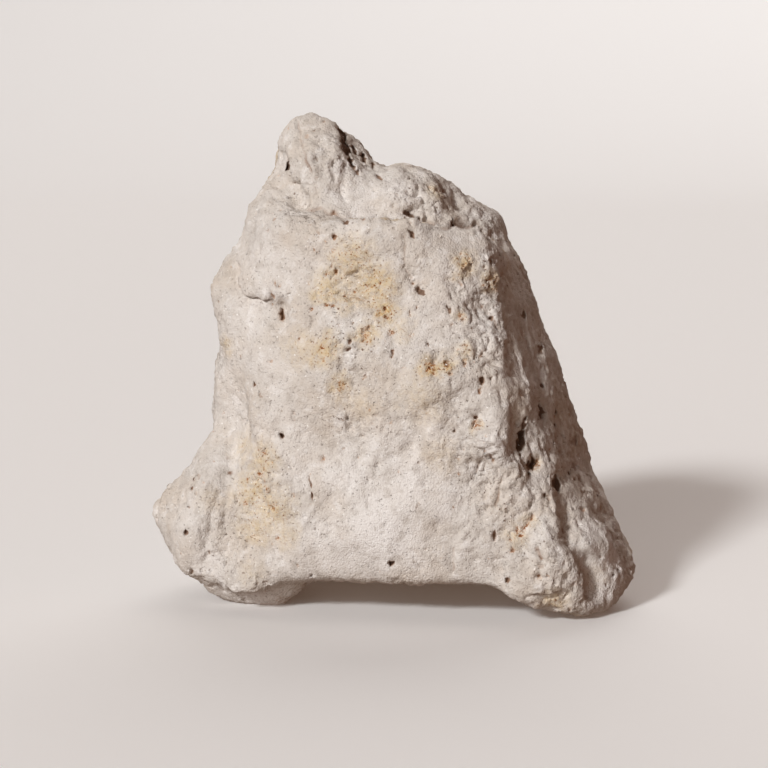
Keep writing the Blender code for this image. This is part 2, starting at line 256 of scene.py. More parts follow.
# Wave and height of the worn lumps in mm, and how far they depend on the roughness.
LUMPS = [(8.5, 0.34, 0.6), (4.4, 0.28, 0.6), (2.5, 0.24, 0.75), (1.4, 0.22, 0.85), (0.8, 0.15, 0.8)]
ROUGH_GAIN = 1.4
height = np.zeros(len(base))
for wave, size, share in LUMPS:
    height += size * (1 - share + share * rough * ROUGH_GAIN) * ripple(wandered, wave, 3.7)

# Swells of the broad face, and the blunted stretch of its right edge: picture place, reach and
# height in mm.
SWELLS = [
    (503, 424, 5.0, 0.9), (500, 405, 4.0, 0.5), (560, 560, 6.0, 0.5), (606, 545, 4.0, 0.7),
    (618, 575, 4.0, 0.5), (380, 520, 9.0, 0.5), (300, 150, 5.0, 0.3), (395, 190, 6.0, 0.4),
    (505, 272, 4.0, -0.5), (506, 298, 4.0, -0.6), (507, 324, 4.0, -0.6), (508, 350, 4.0, -0.5),
    (510, 374, 3.5, -0.3),
]
for x, y, reach, raised in SWELLS:
    height += raised * soft_edge(away_from(x, y), reach)

# Wave, depth and width of the crevices between lumps. Each comes and goes along its length.
CREVICES = [(5.2, 0.30, 0.16), (2.6, 0.16, 0.2)]
COMES_AND_GOES = 1.6
GONE = -0.05
THERE = 0.35
for wave, depth, width in CREVICES:
    line = np.abs(ripple(wandered, wave, 19.0))
    broken = smooth_step(ripple(base, wave * COMES_AND_GOES, 27.0), GONE, THERE)
    height -= depth * rough * broken * (1 - smooth_step(line, 0.0, width))

# Wave, depth and how rare the crumbled hollows are.
CRUMBS = [(2.4, 0.42, 0.36), (1.2, 0.38, 0.32), (0.7, 0.28, 0.28)]
CRUMB_EDGE = 0.22
for wave, depth, rare in CRUMBS:
    height -= depth * rough * smooth_step(ripple(wandered, wave, 33.0), rare, rare + CRUMB_EDGE)

# The way the froth was pulled as it set, and the flutes along it: wave and depth in mm. Each
# is a narrow groove beside a broad low crest.
PULL = np.array((0.22, -0.1, -1.0))
PULL /= np.linalg.norm(PULL)
FLUTES = [(3.8, 0.24), (1.9, 0.20), (0.95, 0.16)]
FLUTE_STRETCH = 4.0
GROOVE = 0.6
GROOVE_SIDE = 2.2
CREST = -0.5

# Where the stone is fluted: middle and reach in mm, strength. Elsewhere it is only faint.
FLUTED = [
    ((-12, -6, 79), 15, 0.8), ((31, -14, 40), 24, 0.9), ((38, -14, 14), 20, 0.9),
    ((24, -26, 26), 16, 0.7), ((20, -12, 62), 14, 0.8), ((-8, 26, 40), 28, 0.8), ((-32, 6, 44), 20, 0.7),
    ((30, 12, 30), 24, 0.7),
]
FAINT = 0.1
FADE_OUT = 1.25
along = wandered @ PULL
drawn = wandered - np.outer(along * (1 - 1 / FLUTE_STRETCH), PULL)
fluted = np.full(len(base), FAINT)
for middle, reach, strength in FLUTED:
    away = np.linalg.norm(base - middle, axis=1)
    fluted = np.maximum(fluted, strength * soft_edge(away, reach * FADE_OUT))
for wave, size in FLUTES:
    groove = GROOVE - GROOVE_SIDE * np.abs(ripple(drawn, wave, 11.3))
    height -= size * fluted * np.clip(groove, CREST, 1)


# ---------------------------------------------------------------------------------------------
# Ledges, tears and cracks of the broad face, where one sheet of the froth broke from the next.
# Each follows a path of picture places; what is left of the path as it is walked stands proud.
# ---------------------------------------------------------------------------------------------
# Path, half width of the cut, depth of the cut, height of the proud side, its reach: all mm.
TEARS = [
    ([(302, 206), (311, 210), (320, 208), (328, 213), (335, 212), (341, 218),
      (347, 224)], 0.6, 0.55, 0.4, 5),
    ([(350, 222), (360, 226), (372, 221), (384, 226), (396, 221), (406, 225)], 1.0, 0.15, 0.25, 5),
    ([(418, 224), (426, 219), (434, 225), (447, 228), (456, 223), (466, 228), (476, 226), (484, 233),
      (491, 239), (499, 250)], 0.5, 0.6, 0.8, 5),
    ([(236, 256), (240, 270), (238, 283), (245, 295), (255, 299), (270, 301), (276, 305),
      (281, 310)], 0.35, 0.7, 0.45, 4),
    ([(404, 230), (404, 241), (406, 256), (405, 264), (410, 278), (413, 284)], 0.45, 0.6, 0.0, 3),
    ([(281, 151), (287, 154), (288, 160)], 0.3, 0.5, 0.2, 2),
    ([(298, 117), (301, 138), (305, 150), (308, 161), (311, 176)], 0.5, 0.6, 0.2, 3),
    ([(347, 160), (344, 174), (342, 192), (346, 205)], 0.8, 0.55, 0.0, 3),
    ([(472, 393), (450, 405), (432, 410), (424, 422), (419, 436), (412, 451),
      (398, 458)], 2.0, 0.75, 0.75, 8),
    ([(430, 409), (427, 420), (420, 434)], 0.5, 0.3, 0.0, 3),
    ([(307, 474), (310, 487), (313, 497), (311, 505)], 0.7, 0.35, 0.25, 3),
    ([(314, 508), (312, 518), (309, 524)], 0.4, 0.3, 0.0, 3),
    ([(231, 430), (233, 443), (230, 461), (229, 474), (227, 488), (221, 500), (216, 508)], 1.6, 0.9, 0.0, 5),
    ([(219, 498), (213, 512), (211, 525), (208, 541), (206, 556), (206, 568)], 0.9, 0.7, 0.3, 4),
    ([(228, 487), (226, 505), (226, 520), (227, 533)], 0.8, 0.55, 0.0, 4),
    ([(193, 577), (203, 578), (213, 575)], 0.3, 0.5, 0.2, 2),
    ([(200, 585), (210, 586), (218, 585)], 0.3, 0.4, 0.2, 2),
    ([(476, 300), (482, 307), (490, 312), (494, 319), (499, 325), (506, 329)], 0.6, 0.9, 0.5, 4),
    ([(508, 292), (511, 305), (513, 320), (512, 334), (511, 350), (512, 362)], 1.2, 0.35, 0.0, 4),
    ([(513, 363), (518, 374), (523, 386), (525, 398)], 1.1, 0.6, 0.0, 4),
    ([(500, 389), (501, 400), (499, 408)], 0.7, 0.8, 0.0, 3),
    ([(482, 461), (478, 468), (474, 475)], 0.35, 0.7, 0.0, 2),
    ([(502, 477), (499, 488), (497, 498), (495, 508)], 0.6, 0.7, 0.0, 3),
    ([(534, 513), (530, 519), (525, 524)], 0.4, 0.7, 0.0, 2),
    ([(456, 545), (453, 556), (453, 567), (451, 573)], 0.5, 0.6, 0.25, 3),
    ([(459, 539), (460, 530), (465, 525), (471, 523)], 0.35, 0.5, 0.0, 2),
    ([(469, 533), (467, 540)], 0.3, 0.5, 0.0, 2),
    ([(442, 521), (434, 527)], 0.5, 0.5, 0.0, 2),
    ([(534, 546), (539, 553), (544, 561)], 0.5, 0.8, 0.2, 3),
    ([(566, 508), (565, 520), (566, 532), (571, 543), (577, 550), (586, 562), (592, 574),
      (597, 584)], 1.9, 0.8, 0.0, 5),
    ([(597, 508), (606, 512), (615, 518)], 0.9, 0.4, 0.25, 4),
    ([(525, 596), (540, 596), (552, 594), (564, 593), (572, 595)], 0.5, 0.5, 0.5, 3),
    ([(276, 561), (283, 560)], 0.25, 0.4, 0.0, 2),
    ([(329, 413), (334, 409), (340, 407), (345, 410)], 0.3, 0.35, 0.0, 2),
    ([(338, 420), (340, 427)], 0.3, 0.3, 0.0, 2),
    ([(294, 180), (296, 190), (301, 199), (306, 205)], 1.5, 0.8, 0.0, 4),
    ([(312, 178), (316, 190), (318, 200)], 0.6, 0.5, 0.0, 3),
    ([(417, 178), (419, 188), (417, 197)], 0.4, 0.4, 0.0, 2),
    ([(453, 196), (457, 203), (463, 212), (471, 219)], 1.3, 1.2, 0.0, 5),
    ([(348, 297), (356, 299), (365, 299), (371, 296)], 0.45, 0.6, 0.0, 3),
    ([(391, 336), (397, 350), (397, 366), (401, 380)], 1.0, 0.35, 0.0, 4),
]
EDGE_WANDER = 0.5
EDGE_WAVE = 1.6
NARROW = 0.6

# How the cuts are shaped: how near a path's ends they stop, how fast they come in from there and
# how blunt that is, how far their depth swings, how round they are, and how wide a lip's rise is
# for their width.
END_SHARE = 0.02
TEAR_MARGIN = 1.3
TEAR_START = 3
TEAR_BLUNT = 0.7
UNEVEN_WAVE = 2.2
MEAN_DEPTH = 0.75
DEPTH_SWING = 0.5
TEAR_ROUND = 1.6
LIP_WIDTH = 1.2

wander = ripples(EDGE_WAVE, 17.3, 29.9)
wandering = pictured + wander * EDGE_WANDER / PIXEL
hole = np.zeros(len(base))
# How dark each point is painted for the depth of its hole or crack: painted shade.
painted_shade = np.zeros(len(base))


def beside_path(points, path):
    """Each point's distance from a path in a plane, positive on its left, and its share along."""
    steps = [b - a for a, b in zip(path[:-1], path[1:])]
    lengths = [np.linalg.norm(step) for step in steps]
    nearest = np.full(len(points), np.inf)
    signed = np.zeros(len(points))
    share = np.zeros(len(points))
    walked = 0.0
    for a, step, length in zip(path, steps, lengths):
        part = np.clip((points - a) @ step / length**2, 0, 1)
        gap = np.linalg.norm(points - a - part[:, None] * step, axis=1)
        turn = step[1] * (points[:, 0] - a[0]) - step[0] * (points[:, 1] - a[1])
        closer = gap < nearest
        signed = np.where(closer, gap * np.sign(turn), signed)
        share = np.where(closer, (walked + part * length) / sum(lengths), share)
        nearest = np.minimum(nearest, gap)
        walked += length
    return signed, share


def points_near(places, reach):
    """The points within reach, in mm, of what shows at these picture places."""
    found = set()
    for x, y in places:
        found.update(index for _, index, _ in near.find_range(seen_at(x, y), reach))
    return np.array(sorted(found))


def walk(path, stride=6.0):
    """The path with further places between, so that none is more than a stride apart, in pixels."""
    places = []
    for (ax, ay), (bx, by) in zip(path[:-1], path[1:]):
        count = max(1, math.ceil(math.hypot(bx - ax, by - ay) / stride))
        places += [(ax + (bx - ax) * k / count, ay + (by - ay) * k / count) for k in range(count)]
    return places + [path[-1]]


def beside(path, reach, start):
    """The points near a path, their distance from it in mm, and their easing to 0 at its ends."""
    picked = points_near(walk(path), reach)
    signed, share = beside_path(wandering[picked], [np.array(place, float) for place in path])
    share = np.clip(share, END_SHARE, 1 - END_SHARE)
    ends = np.clip(np.sin(math.pi * share) * start, 0, 1)
    return picked, signed * PIXEL, ends


for path, half_width, depth, proud, reach in TEARS:
    picked, signed, ends = beside(path, max(reach, half_width * 2) * TEAR_MARGIN, TEAR_START)
    ends = ends**TEAR_BLUNT
    uneven = MEAN_DEPTH + DEPTH_SWING * ripple(base[picked], UNEVEN_WAVE, 41.0)
    hollowed = np.clip(1 - np.abs(signed / half_width) ** TEAR_ROUND, 0, 1)
    cut = hollowed * depth * ends * uneven
    hole[picked] = np.maximum(hole[picked], cut)
    # Narrow cuts are also painted darker by their depth: painted shade.
    if half_width <= NARROW:
        painted_shade[picked] = np.maximum(painted_shade[picked], cut)
    lip = np.clip(0.5 + signed / (half_width * LIP_WIDTH), 0, 1) * soft_edge(signed, reach)
    height[picked] += proud * lip * ends * uneven * faces_lens[picked]


# Ribs that stand out between the tears: path, half width and height in mm.
RIBS = [
    ([(326, 112), (330, 130), (337, 150), (346, 172), (350, 198)], 1.5, 0.55),
    ([(308, 140), (312, 160), (317, 180)], 1.0, 0.4), ([(290, 118), (289, 140), (296, 156)], 1.8, 0.3),
    ([(455, 213), (468, 222), (484, 231)], 1.0, 0.7),
    ([(502, 276), (508, 296), (512, 312), (517, 330)], 1.4, 0.15),
    ([(487, 325), (498, 340), (508, 358)], 1.6, 0.4), ([(493, 365), (503, 380), (512, 398)], 1.5, 0.4),
    ([(512, 395), (514, 408), (512, 422)], 1.4, 0.3),
    ([(560, 515), (561, 532), (566, 545), (576, 556)], 1.8, 0.25),
    ([(537, 500), (545, 520), (550, 540)], 1.6, 0.3), ([(312, 508), (313, 520)], 0.7, 0.35),
    ([(339, 411), (343, 420), (342, 428)], 0.8, 0.35), ([(464, 530), (465, 540)], 0.8, 0.35),
    ([(390, 160), (398, 168), (404, 178)], 0.9, 0.4), ([(604, 520), (612, 540), (622, 562)], 1.4, 0.4),
    ([(585, 485), (592, 502), (598, 515)], 1.0, 0.5),
]
RIB_MARGIN = 2.4
RIB_START = 2
RIB_FOOT = 1.6
for path, half_width, proud in RIBS:
    picked, signed, ends = beside(path, half_width * RIB_MARGIN, RIB_START)
    height[picked] += proud * soft_edge(signed, half_width * RIB_FOOT) * ends * faces_lens[picked]


# ---------------------------------------------------------------------------------------------
# Burst bubbles. Gas froze in the glass as bubbles; the skin has worn through and left pits.
# Those of the broad face each have their own place; the rest are scattered by a seeded draw.
# ---------------------------------------------------------------------------------------------
# Picture x, y, width, length, lean in degrees (clockwise from upright), depth: mm; rust 0 to 1.
PITS = [
    (287, 166.5, 1.3, 1.4, 0, 2.2, 0.1), (342, 133, 2.1, 3.4, -12, 2.0, 0.2),
    (344, 147, 2.1, 3.8, -20, 2.2, 0.2), (354, 149, 1.1, 2.4, -30, 1.5, 0.1),
    (352, 163, 1.4, 2.8, -18, 1.8, 0.1), (357.5, 172, 1.0, 1.2, -30, 1.1, 0.1),
    (364, 157, 1.0, 2.6, -14, 1.5, 0.0), (373, 164, 0.8, 1.4, 0, 1.0, 0.0),
    (379, 178, 0.9, 1.8, -30, 0.9, 0.1), (336, 124, 1.2, 1.8, -20, 1.2, 0.2),
    (324, 122, 0.6, 1.1, -30, 0.8, 0.3), (314.3, 130, 0.5, 0.6, 0, 0.6, 0.6),
    (308, 137, 0.9, 1.1, 0, 0.4, 0.4), (296, 116, 0.8, 1.0, 0, 0.4, 0.1),
    (316, 160, 0.5, 1.5, 0, 0.5, 0.2), (299, 180, 0.4, 1.0, 10, 0.7, 0.1),
    (274.5, 200, 0.7, 0.5, 0, 0.5, 0.2), (289, 198, 0.4, 0.7, 0, 0.6, 0.2),
    (296.5, 210, 0.7, 0.6, 0, 0.6, 0.5), (274.5, 219, 0.5, 1.1, 20, 0.6, 0.5),
    (268.5, 231, 0.9, 0.7, -20, 0.7, 0.4), (252.5, 220, 0.3, 0.5, 0, 0.4, 0.2),
    (333.5, 212, 0.9, 0.7, -30, 1.0, 0.4), (345, 221, 0.8, 1.6, -45, 1.4, 0.3),
    (335, 238, 0.9, 1.0, 0, 1.0, 0.7), (318, 236, 0.5, 0.6, 0, 0.6, 0.3),
    (314.3, 249, 0.6, 1.0, 0, 0.9, 0.5), (317, 253, 0.5, 0.5, 0, 0.5, 0.5),
    (409.7, 179, 0.8, 0.8, 0, 1.1, 0.0), (393, 206.5, 0.6, 0.6, 0, 0.8, 0.3),
    (410, 215, 1.2, 2.3, -62, 1.2, 0.2), (416.5, 219, 1.1, 1.5, -60, 1.9, 0.2),
    (452, 223, 1.6, 1.3, 0, 1.9, 0.3), (411.5, 233.5, 0.7, 2.2, -28, 1.4, 0.3),
    (439.5, 236, 0.5, 0.6, 0, 0.5, 0.2), (430, 229.5, 0.8, 0.5, 0, 0.5, 0.2),
    (426, 247, 0.4, 0.5, 0, 0.4, 0.0), (371, 233, 0.5, 0.5, 0, 0.5, 0.0),
    (367, 226, 0.4, 0.4, 0, 0.5, 0.0), (282, 315, 1.1, 2.4, -10, 1.7, 0.6),
    (273, 295.5, 0.6, 1.5, -12, 1.0, 0.6), (275.4, 283, 0.5, 1.5, -5, 0.8, 0.7),
    (280.5, 286, 0.7, 0.7, 0, 0.5, 0.5), (254.4, 384.6, 0.6, 0.9, -10, 1.3, 0.5),
    (250, 380, 1.6, 2.0, 20, 0.3, 0.1), (260.5, 396, 1.0, 0.8, 0, 0.6, 0.0),
    (267.8, 388, 0.7, 0.6, 0, 0.4, 0.1), (326, 273.7, 0.6, 1.3, 10, 0.8, 0.9),
    (336.6, 272, 0.8, 0.9, 0, 0.9, 0.8), (311.6, 309, 0.8, 0.8, 0, 0.9, 0.9),
    (326, 305.5, 0.7, 0.6, 0, 0.8, 0.9), (333, 306.5, 0.8, 0.7, 0, 0.9, 0.9),
    (344.5, 296, 0.7, 0.7, 0, 0.9, 0.8), (299.4, 338.4, 0.6, 0.6, 0, 0.7, 0.7),
    (320.8, 347, 0.9, 1.0, 0, 0.6, 1.0), (312.7, 343, 0.5, 0.5, 0, 0.6, 0.9),
    (278, 340, 0.5, 0.5, 0, 0.5, 0.4), (264, 325.5, 0.4, 0.4, 0, 0.5, 0.3),
    (219.3, 295.6, 0.4, 0.5, 0, 0.5, 0.2), (217.8, 301.5, 0.4, 0.9, -25, 0.6, 0.1),
    (225.4, 307, 0.6, 0.6, 0, 0.5, 0.0), (216.7, 310.5, 0.5, 0.4, 0, 0.5, 0.1),
    (227, 293, 0.3, 0.9, 0, 0.4, 0.1), (219.8, 392, 0.4, 0.4, 0, 0.5, 0.2),
    (287, 369.6, 0.4, 0.4, 0, 0.5, 0.3), (322.9, 361.4, 0.4, 0.5, 0, 0.4, 0.9),
    (248.4, 254.5, 0.8, 0.6, 0, 0.4, 0.0), (420, 291, 1.2, 2.4, -55, 1.2, 0.2),
    (424, 293.5, 0.7, 1.0, -60, 1.4, 0.2), (412.5, 283, 0.6, 0.9, -50, 1.0, 0.4),
    (406.2, 277.3, 0.6, 0.6, 0, 0.7, 0.4), (447.3, 306, 0.6, 1.7, 0, 1.1, 0.3),
    (450.5, 311, 1.1, 1.3, 0, 0.9, 0.0), (461.3, 316.5, 1.2, 1.3, 0, 0.35, 0.8),
    (451, 325, 0.6, 0.6, 0, 0.7, 0.6), (380.2, 282.5, 0.7, 0.8, 0, 0.9, 0.9),
    (372.6, 287.2, 0.8, 0.7, 0, 0.9, 0.9), (367, 284, 0.6, 0.5, 0, 0.6, 0.8),
    (355.7, 279.8, 0.7, 0.3, 0, 0.4, 0.1), (385, 309, 0.8, 1.3, 10, 1.0, 1.0),
    (386.5, 317, 1.0, 0.9, -30, 1.1, 1.0), (379, 314, 0.7, 1.2, 20, 0.6, 0.6),
    (409.8, 314, 0.6, 1.7, -8, 0.7, 0.3), (416.5, 307.5, 0.4, 0.9, 10, 0.8, 0.7),
    (369, 328, 0.7, 0.6, 0, 0.8, 0.9), (361.5, 340, 0.8, 0.7, 0, 0.9, 1.0),
    (367.5, 341, 0.7, 0.6, 0, 0.8, 1.0), (365, 334, 1.4, 1.6, 0, 0.4, 0.9),
    (352.6, 322.6, 0.6, 0.7, -30, 0.9, 0.6), (391.4, 333, 1.0, 0.8, 0, 0.5, 1.0),
    (411.8, 335, 0.8, 0.6, 0, 0.4, 0.9), (392.6, 353, 0.6, 1.9, 4, 1.3, 0.7),
    (391, 357, 0.7, 0.7, 0, 1.1, 0.6), (427.7, 344, 0.7, 1.3, -30, 0.9, 0.3),
    (433.8, 363.5, 0.8, 0.8, 0, 1.0, 1.0), (433.3, 373, 0.9, 0.8, 20, 1.0, 1.0),
    (428, 371, 0.6, 0.9, 30, 0.8, 1.0), (430, 366, 1.8, 2.0, 0, 0.35, 0.8),
    (447.2, 364, 1.0, 1.7, -12, 1.4, 0.9), (450, 374, 0.8, 0.7, 0, 1.0, 1.0),
    (465, 362.5, 0.6, 1.5, 10, 1.1, 1.0), (465, 345.3, 0.5, 0.5, 0, 0.9, 0.8),
    (459, 350, 0.5, 0.5, 0, 0.5, 0.9), (463.3, 264.5, 0.6, 0.6, 0, 0.8, 0.9),
    (469.5, 258, 0.4, 0.5, 0, 0.6, 0.7), (472, 270.6, 0.5, 0.5, 0, 0.6, 0.5),
    (461, 254, 0.5, 0.8, 0, 0.5, 0.8), (460.8, 285, 0.7, 0.9, -30, 0.6, 0.4),
    (471, 312, 0.5, 0.5, -30, 0.6, 0.5), (364, 377, 0.6, 1.0, 20, 0.7, 0.9),
    (341, 386, 1.1, 1.3, 0, 0.45, 0.9), (376.6, 382, 0.4, 0.4, 0, 0.5, 0.4),
    (349, 342, 0.8, 1.1, 10, 1.0, 0.0), (347.5, 349, 1.1, 0.8, -20, 1.0, 0.0),
    (351, 252, 0.7, 0.5, 0, 0.3, 0.6), (332, 251, 0.9, 1.0, 0, 0.25, 0.7),
    (484, 267, 0.7, 0.7, 0, 0.8, 0.7), (493, 260, 0.6, 1.6, -15, 0.8, 0.6),
    (506.5, 273, 0.9, 1.1, 0, 0.6, 0.7), (489, 279, 0.9, 1.1, 0, 0.6, 0.8),
    (495, 280, 0.8, 1.6, -15, 0.6, 0.8), (491, 286, 0.7, 0.7, 0, 0.4, 0.8),
    (498, 290, 0.8, 0.8, 0, 0.3, 0.7), (483, 285, 0.6, 0.7, 0, 0.6, 0.7),
    (477, 294, 0.9, 0.7, 0, 0.5, 0.3), (492, 317, 1.2, 1.7, -30, 1.4, 0.3),
    (482, 307, 0.9, 0.8, -40, 1.0, 0.4), (482, 381, 1.0, 1.9, 12, 1.4, 0.4),
    (480, 392, 0.8, 1.2, 8, 1.1, 0.6), (490.5, 379, 0.6, 0.9, 10, 0.8, 0.2),
    (481, 355, 0.6, 1.3, 25, 0.8, 0.5), (485, 350, 0.6, 0.9, 30, 0.6, 0.3),
    (523.7, 315, 1.0, 1.7, -8, 0.9, 0.0), (540, 349, 1.2, 2.4, -12, 0.9, 0.0),
    (542.6, 386, 0.8, 0.8, 0, 1.0, 0.0), (541.8, 412, 1.5, 2.6, -8, 1.1, 0.0),
    (556, 410, 0.7, 1.9, 0, 0.9, 0.0), (555, 425.5, 0.6, 0.6, 0, 0.8, 0.0),
    (553.6, 442, 0.5, 1.1, 15, 0.9, 0.0), (570.5, 440, 0.5, 0.5, 0, 0.8, 0.0),
    (574, 413, 0.6, 0.6, 0, 0.8, 0.0), (575.5, 441, 1.8, 2.2, 0, 0.6, 0.0),
    (521, 440, 1.8, 4.4, 10, 2.4, 0.1), (524, 425, 1.2, 2.6, 12, 1.4, 0.4),
    (520.8, 456, 0.7, 1.3, -8, 1.2, 0.4), (533, 464, 1.5, 2.6, 10, 1.9, 0.3),
    (538, 464, 1.0, 1.8, 15, 1.0, 0.9), (529.6, 473, 0.8, 1.0, 0, 1.3, 0.4),
    (531, 455, 0.6, 0.9, 0, 0.8, 0.8), (557, 484, 1.5, 3.0, 5, 1.4, 0.2),
    (549, 475.5, 0.5, 0.6, 0, 0.9, 0.1), (571, 472.5, 0.5, 0.7, 0, 0.9, 0.3),
    (545, 495, 0.6, 1.2, 10, 1.0, 0.3), (576.5, 467, 1.6, 2.2, 0, 0.6, 0.1),
    (598, 496, 0.6, 0.6, 0, 0.9, 0.2), (584, 510, 0.8, 1.0, 0, 0.8, 0.5),
    (589, 542.6, 0.6, 0.6, 0, 0.9, 0.1), (566, 530, 0.9, 1.4, 0, 0.7, 0.3),
    (475.7, 417, 0.8, 1.1, 5, 1.5, 0.4), (477, 425, 1.5, 1.6, 0, 0.55, 0.8),
    (473.5, 424, 0.5, 1.1, 10, 1.1, 0.7), (454.5, 431, 0.5, 0.7, 20, 1.0, 0.5),
    (432.5, 439.3, 0.4, 0.3, 0, 0.6, 0.4), (430, 444.3, 0.3, 0.3, 0, 0.5, 0.3),
    (426, 415, 0.7, 0.6, 0, 0.6, 0.4), (418, 504, 0.5, 1.0, 25, 0.7, 0.6),
    (455.5, 528.5, 0.6, 0.4, 0, 0.6, 0.0), (490, 457, 1.0, 1.4, 0, 0.8, 0.3),
    (492.5, 461, 0.7, 0.9, 20, 1.1, 0.7), (485, 452, 0.7, 0.6, 0, 0.7, 0.5),
    (478, 440, 0.5, 0.4, 0, 0.4, 0.1), (485.5, 439, 0.5, 0.4, 0, 0.4, 0.1),
    (464, 450.5, 0.6, 0.6, 40, 0.4, 0.4), (459, 474, 0.5, 0.4, 0, 0.4, 0.9),
    (424.5, 484, 0.9, 1.4, -10, 0.5, 0.1), (281.7, 435.8, 1.0, 1.25, 0, 1.6, 0.1),
    (275.5, 438, 0.3, 0.3, 0, 0.4, 0.0), (265, 448.5, 0.5, 0.5, 0, 0.7, 0.2),
    (269.3, 447, 0.4, 0.4, 0, 0.5, 0.4), (262.7, 453, 0.7, 0.7, 0, 0.5, 0.8),
    (258, 450, 0.6, 0.5, 0, 0.5, 0.6), (259.6, 474.5, 0.5, 1.2, -65, 0.8, 1.0),
    (263, 470, 0.4, 0.9, 25, 0.6, 0.8), (247.3, 479.6, 0.7, 0.6, 0, 0.5, 0.8),
    (242.2, 468.5, 0.4, 0.4, 0, 0.5, 0.6), (267.2, 490.3, 0.6, 0.8, 0, 0.7, 1.0),
    (263.7, 481.6, 0.5, 0.8, 0, 0.5, 0.8), (245.3, 502.6, 0.6, 0.9, 0, 0.5, 1.0),
    (272.9, 507, 0.9, 2.2, -60, 0.6, 0.7), (269.5, 514, 0.8, 1.4, 20, 0.5, 0.1),
    (278, 538, 0.7, 0.8, 0, 0.5, 0.8), (272, 544, 0.4, 0.4, 0, 0.5, 0.6),
    (293, 495.5, 0.4, 0.9, 0, 0.6, 0.9), (294.6, 531.5, 0.5, 0.5, 0, 0.7, 0.2),
    (318, 533, 0.4, 0.7, 0, 0.4, 0.1), (326.7, 537, 0.3, 1.2, 0, 0.4, 0.1),
    (342.5, 537.5, 0.5, 0.4, 0, 0.5, 0.8), (355.8, 506, 0.4, 0.4, 0, 0.5, 0.3),
    (368.6, 480.5, 0.3, 0.3, 0, 0.4, 0.3), (344, 519.5, 0.4, 0.4, 0, 0.4, 0.2),
    (291, 468, 0.3, 0.7, 0, 0.6, 0.1), (310, 483, 0.55, 2.6, -16, 1.2, 0.3),
    (312, 496, 0.5, 2.2, -6, 1.2, 0.3), (286, 465, 0.5, 0.3, 0, 0.4, 0.1),
    (307.3, 468, 0.4, 0.6, 0, 0.5, 0.2), (314, 476.4, 0.5, 0.4, 0, 0.6, 0.3),
    (343.6, 448, 0.5, 0.6, 0, 0.6, 0.6), (324.7, 443.8, 0.4, 0.8, 40, 0.5, 0.0),
    (306.8, 417.3, 0.3, 0.4, 0, 0.5, 0.0), (294, 414, 0.7, 0.9, 0, 0.5, 0.0),
    (281, 410.5, 0.4, 1.0, 0, 0.5, 0.0), (301, 403.5, 0.4, 0.9, 25, 0.4, 0.2),
    (266.5, 403.5, 0.4, 0.9, -30, 0.5, 0.0), (348, 419, 0.6, 0.6, 0, 0.6, 0.0),
    (375.7, 414.8, 0.9, 0.8, 0, 0.4, 0.2), (383, 400.5, 0.7, 0.4, 0, 0.4, 0.1),
    (372.6, 424, 0.4, 0.4, 0, 0.4, 0.5), (369, 409, 0.5, 0.7, 0, 0.3, 0.8),
    (323.5, 390.5, 0.5, 0.4, 0, 0.4, 0.1), (186, 532.7, 1.0, 1.2, -10, 1.2, 0.2),
    (192.2, 488.3, 0.6, 1.0, 0, 1.1, 0.6), (194.3, 479, 0.35, 1.3, 8, 0.7, 0.1),
    (197.3, 475.5, 0.4, 0.7, 0, 0.5, 0.0), (187.7, 507, 0.7, 0.9, 0, 0.7, 0.2),
    (196.3, 494, 0.4, 0.8, -20, 0.5, 0.2), (178.5, 517, 0.35, 0.35, 0, 0.5, 0.0),
    (214.7, 451.5, 0.4, 0.35, 0, 0.5, 0.0), (214.7, 461.2, 0.7, 0.6, 0, 0.4, 0.7),
    (233, 443.5, 0.5, 0.5, 0, 0.8, 0.2), (229, 471.5, 1.1, 1.5, 0, 0.8, 0.2),
    (227, 456, 0.8, 1.4, 25, 0.5, 0.0), (226.4, 534, 0.6, 0.45, 0, 0.9, 0.1),
    (240.2, 539, 0.4, 0.4, 0, 0.8, 0.3), (246.8, 541.8, 0.45, 0.4, 0, 0.8, 0.4),
    (191.2, 572, 0.8, 1.5, -10, 0.8, 0.2), (187.7, 568.5, 0.6, 0.9, 20, 0.4, 0.2),
    (182.5, 563.5, 0.3, 0.3, 0, 0.5, 0.1), (226, 563, 0.4, 1.6, 0, 0.7, 0.2),
    (208.6, 553, 0.5, 1.2, 0, 0.7, 0.3), (269.8, 575, 0.4, 0.4, 0, 0.5, 0.2),
    (391, 563.7, 1.15, 1.3, 10, 1.9, 0.1), (387, 559, 0.5, 0.4, 0, 0.5, 0.0),
    (311.4, 576, 0.6, 0.9, 20, 0.8, 0.2), (373.7, 541.3, 0.4, 0.6, -30, 0.5, 0.1),
    (508, 580.5, 1.1, 1.3, 20, 1.1, 0.3), (494.7, 536, 0.9, 2.4, -4, 1.0, 0.4),
    (510.6, 540.2, 0.5, 0.7, 0, 0.9, 1.0), (519.8, 535.5, 1.0, 0.8, 0, 0.8, 1.0),
    (517.8, 530, 0.6, 1.1, 0, 0.8, 1.0), (512.6, 550.5, 0.8, 1.0, 20, 1.1, 0.8),
    (532, 517.8, 0.7, 1.2, 20, 1.0, 0.9), (528, 524, 0.6, 1.4, 35, 0.9, 1.0),
    (523, 530, 0.6, 1.2, 35, 0.8, 1.0), (542.5, 528.6, 0.4, 0.4, 0, 0.6, 0.9),
    (426, 549.4, 0.9, 0.7, 0, 0.5, 0.2), (431, 558.6, 0.6, 0.6, 0, 0.4, 0.1),
    (501.5, 509.6, 0.5, 0.4, 0, 0.6, 0.2), (506.5, 512.7, 0.4, 0.4, 0, 0.6, 0.3),
    (538.8, 579, 1.2, 0.8, 0, 0.7, 0.6), (547.4, 576.5, 0.6, 0.7, 0, 0.6, 0.7),
    (541, 566, 1.3, 1.9, 0, 0.5, 0.1), (569.4, 610, 0.8, 0.9, 0, 0.8, 0.4),
    (554, 563, 0.4, 0.8, 30, 0.5, 0.3), (611.7, 575.5, 0.6, 0.6, 0, 0.9, 0.0),
